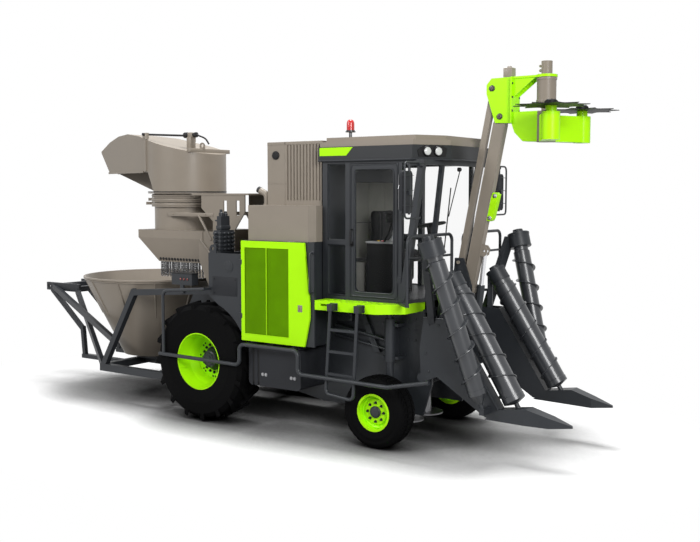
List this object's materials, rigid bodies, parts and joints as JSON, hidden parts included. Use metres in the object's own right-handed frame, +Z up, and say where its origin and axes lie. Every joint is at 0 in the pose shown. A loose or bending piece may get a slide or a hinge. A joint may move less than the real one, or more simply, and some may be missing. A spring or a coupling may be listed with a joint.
{
  "type": "sugarcane harvester",
  "caption": "Wheeled sugarcane chopper harvester with crop dividers, scrolls, a raised topper, a cab, an extractor hood and a rear cane bowl.",
  "frame": {"origin": "on the ground under the middle of the overall length and width", "axes": "+X forward, +Y to the machine's left, +Z up"},
  "size_m": [8.7794, 2.4696, 4.322],
  "materials": {
    "lime_paint": "gloss",
    "beige_paint": "satin",
    "grey_paint": "satin",
    "engine_black": "matte",
    "tank_plastic": "matte",
    "black_plastic": "matte",
    "seat_vinyl": "matte",
    "tyre_rubber": "matte",
    "bare_steel": "satin",
    "chrome_rod": "polished",
    "disc_black": "satin",
    "cab_glass": "clear",
    "lamp_lens": "clear",
    "beacon_red": "gloss"
  },
  "bodies": {
    "chassis": {"chassis_frame": "grey_paint", "rear_axle": "grey_paint", "front_axle": "grey_paint", "engine_block": "engine_black", "engine_housing": "grey_paint", "engine_hood": "beige_paint", "cooling_tower": "beige_paint", "fuel_tanks": "tank_plastic", "side_rails": "grey_paint", "ladder": "grey_paint", "platforms": "lime_paint", "cab_frame": "grey_paint", "cab_glass": "cab_glass", "cab_roof": "beige_paint", "roof_lamps": "lamp_lens", "operator_seat": "seat_vinyl", "control_console": "black_plastic", "front_rails": "grey_paint", "beacon": "beacon_red", "extractor_chamber": "beige_paint", "extractor_ring": "beige_paint", "receiving_bowl": "beige_paint", "chain_curtain": "bare_steel", "rear_frame": "grey_paint", "tail_lamps": "grey_paint", "valve_stack": "grey_paint", "topper_bracket": "grey_paint"},
    "extractor_hood": {"extractor_hood": "beige_paint"},
    "extractor_fan": {"extractor_fan": "bare_steel"},
    "topper_boom": {"topper_boom": "beige_paint"},
    "topper_link": {"topper_link": "beige_paint"},
    "topper_head": {"topper_head": "lime_paint"},
    "topper_cylinder": {"topper_cylinder": "grey_paint"},
    "topper_rod": {"topper_rod": "chrome_rod"},
    "topper_disc_right": {"topper_disc_right": "disc_black"},
    "topper_disc_left": {"topper_disc_left": "disc_black"},
    "cab_door": {"cab_door": "grey_paint", "cab_door_glass": "cab_glass"},
    "side_door_right": {"side_door_right": "lime_paint"},
    "side_door_left": {"side_door_left": "lime_paint"},
    "divider_right": {"divider_right": "grey_paint"},
    "divider_left": {"divider_left": "grey_paint"},
    "scroll_outer_right": {"scroll_outer_right": "grey_paint"},
    "scroll_outer_left": {"scroll_outer_left": "grey_paint"},
    "scroll_inner_right": {"scroll_inner_right": "grey_paint"},
    "scroll_inner_left": {"scroll_inner_left": "grey_paint"},
    "knockdown_roller": {"knockdown_roller": "grey_paint"},
    "base_cutter_right": {"base_cutter_right": "bare_steel"},
    "base_cutter_left": {"base_cutter_left": "bare_steel"},
    "front_knuckle_right": {"front_knuckle_right": "grey_paint"},
    "front_knuckle_left": {"front_knuckle_left": "grey_paint"},
    "front_wheel_right": {"front_rim_right": "lime_paint", "front_tyre_right": "tyre_rubber"},
    "front_wheel_left": {"front_rim_left": "lime_paint", "front_tyre_left": "tyre_rubber"},
    "rear_wheel_right": {"rear_rim_right": "lime_paint", "rear_tyre_right": "tyre_rubber"},
    "rear_wheel_left": {"rear_rim_left": "lime_paint", "rear_tyre_left": "tyre_rubber"}
  },
  "joints": [
    {"name": "rear_wheel_right_spin", "type": "hinge", "parent": "chassis", "child": "rear_wheel_right", "pos_m": [-0.3825, -0.956, 0.765], "axis": [0, 1, 0], "continuous": true},
    {"name": "steer_right", "type": "hinge", "parent": "chassis", "child": "front_knuckle_right", "pos_m": [2.1775, -0.66, 0.415], "axis": [0, 0, 1], "range_deg": [-20, 20]},
    {"name": "front_wheel_right_spin", "type": "hinge", "parent": "front_knuckle_right", "child": "front_wheel_right", "pos_m": [2.1775, -0.88, 0.415], "axis": [0, 1, 0], "continuous": true},
    {"name": "divider_lift_right", "type": "hinge", "parent": "chassis", "child": "divider_right", "pos_m": [2.6175, -0.622, 0.82], "axis": [0, 1, 0], "range_deg": [0, 13]},
    {"name": "scroll_outer_right_spin", "type": "hinge", "parent": "divider_right", "child": "scroll_outer_right", "pos_m": [2.9935, -1.075, 2.218], "axis": [0.2724, 0.1382, -0.9522], "continuous": true},
    {"name": "scroll_inner_right_spin", "type": "hinge", "parent": "divider_right", "child": "scroll_inner_right", "pos_m": [2.9895, -0.545, 1.837], "axis": [0.5275, -0.0254, -0.8492], "continuous": true},
    {"name": "topper_disc_right_spin", "type": "hinge", "parent": "topper_head", "child": "topper_disc_right", "pos_m": [4.00955, -0.43, 3.80002], "axis": [0, 0, 1], "continuous": true},
    {"name": "side_door_right_hinge", "type": "hinge", "parent": "chassis", "child": "side_door_right", "pos_m": [0.3215, -1.109, 1.7], "axis": [0, 0, -1], "range_deg": [0, 95]},
    {"name": "base_cutter_right_spin", "type": "hinge", "parent": "chassis", "child": "base_cutter_right", "pos_m": [2.1375, -0.232, 0.6], "axis": [0, 0, 1], "continuous": true},
    {"name": "rear_wheel_left_spin", "type": "hinge", "parent": "chassis", "child": "rear_wheel_left", "pos_m": [-0.3825, 0.956, 0.765], "axis": [0, 1, 0], "continuous": true},
    {"name": "steer_left", "type": "hinge", "parent": "chassis", "child": "front_knuckle_left", "pos_m": [2.1775, 0.66, 0.415], "axis": [0, 0, 1], "range_deg": [-20, 20]},
    {"name": "front_wheel_left_spin", "type": "hinge", "parent": "front_knuckle_left", "child": "front_wheel_left", "pos_m": [2.1775, 0.88, 0.415], "axis": [0, 1, 0], "continuous": true},
    {"name": "divider_lift_left", "type": "hinge", "parent": "chassis", "child": "divider_left", "pos_m": [2.6175, 0.622, 0.82], "axis": [0, 1, 0], "range_deg": [0, 13]},
    {"name": "scroll_outer_left_spin", "type": "hinge", "parent": "divider_left", "child": "scroll_outer_left", "pos_m": [2.9935, 1.075, 2.218], "axis": [0.2724, -0.1382, -0.9522], "continuous": true},
    {"name": "scroll_inner_left_spin", "type": "hinge", "parent": "divider_left", "child": "scroll_inner_left", "pos_m": [2.9895, 0.545, 1.837], "axis": [0.5275, 0.0254, -0.8492], "continuous": true},
    {"name": "topper_disc_left_spin", "type": "hinge", "parent": "topper_head", "child": "topper_disc_left", "pos_m": [4.00955, 0.43, 3.80002], "axis": [0, 0, 1], "continuous": true},
    {"name": "side_door_left_hinge", "type": "hinge", "parent": "chassis", "child": "side_door_left", "pos_m": [0.3215, 1.109, 1.7], "axis": [0, 0, 1], "range_deg": [0, 95]},
    {"name": "base_cutter_left_spin", "type": "hinge", "parent": "chassis", "child": "base_cutter_left", "pos_m": [2.1375, 0.232, 0.6], "axis": [0, 0, 1], "continuous": true},
    {"name": "topper_lift", "type": "hinge", "parent": "chassis", "child": "topper_boom", "pos_m": [2.8455, 0, 1.773], "axis": [0, 1, 0], "range_deg": [0, 66]},
    {"name": "topper_link_pivot", "type": "hinge", "parent": "chassis", "child": "topper_link", "pos_m": [2.7475, 0, 2.09], "axis": [0, 1, 0], "range_deg": [0, 66]},
    {"name": "topper_level", "type": "hinge", "parent": "topper_boom", "child": "topper_head", "pos_m": [3.23955, 0, 3.74502], "axis": [0, 1, 0], "range_deg": [-66, 0]},
    {"name": "topper_cylinder_pivot", "type": "hinge", "parent": "chassis", "child": "topper_cylinder", "pos_m": [2.9475, 0, 1.4], "axis": [0, 1, 0], "range_deg": [0, 40.35]},
    {"name": "topper_rod_slide", "type": "slide", "parent": "topper_cylinder", "child": "topper_rod", "axis": [0.1236, 0, 0.9923], "range_m": [-0.2931, 0]},
    {"name": "hood_slew", "type": "hinge", "parent": "chassis", "child": "extractor_hood", "pos_m": [-1.6575, 0, 2.896], "axis": [0, 0, 1], "range_deg": [-120, 120]},
    {"name": "extractor_fan_spin", "type": "hinge", "parent": "chassis", "child": "extractor_fan", "pos_m": [-1.6575, 0, 2.56], "axis": [0, 0, 1], "continuous": true},
    {"name": "cab_door_hinge", "type": "hinge", "parent": "chassis", "child": "cab_door", "pos_m": [2.3975, -0.85, 2.4], "axis": [0, 0, 1], "range_deg": [0, 75]},
    {"name": "knockdown_roller_spin", "type": "hinge", "parent": "chassis", "child": "knockdown_roller", "pos_m": [2.5075, 0, 0.85], "axis": [0, 1, 0], "continuous": true}
  ],
  "couplings": [
    {"joint": "steer_left", "follows": "steer_right", "ratio": 1},
    {"joint": "topper_link_pivot", "follows": "topper_lift", "ratio": 1},
    {"joint": "topper_level", "follows": "topper_lift", "ratio": -1},
    {"joint": "topper_cylinder_pivot", "follows": "topper_lift", "ratio": 0.6038},
    {"joint": "topper_rod_slide", "follows": "topper_lift", "m_per_rad": -0.25274}
  ]
}
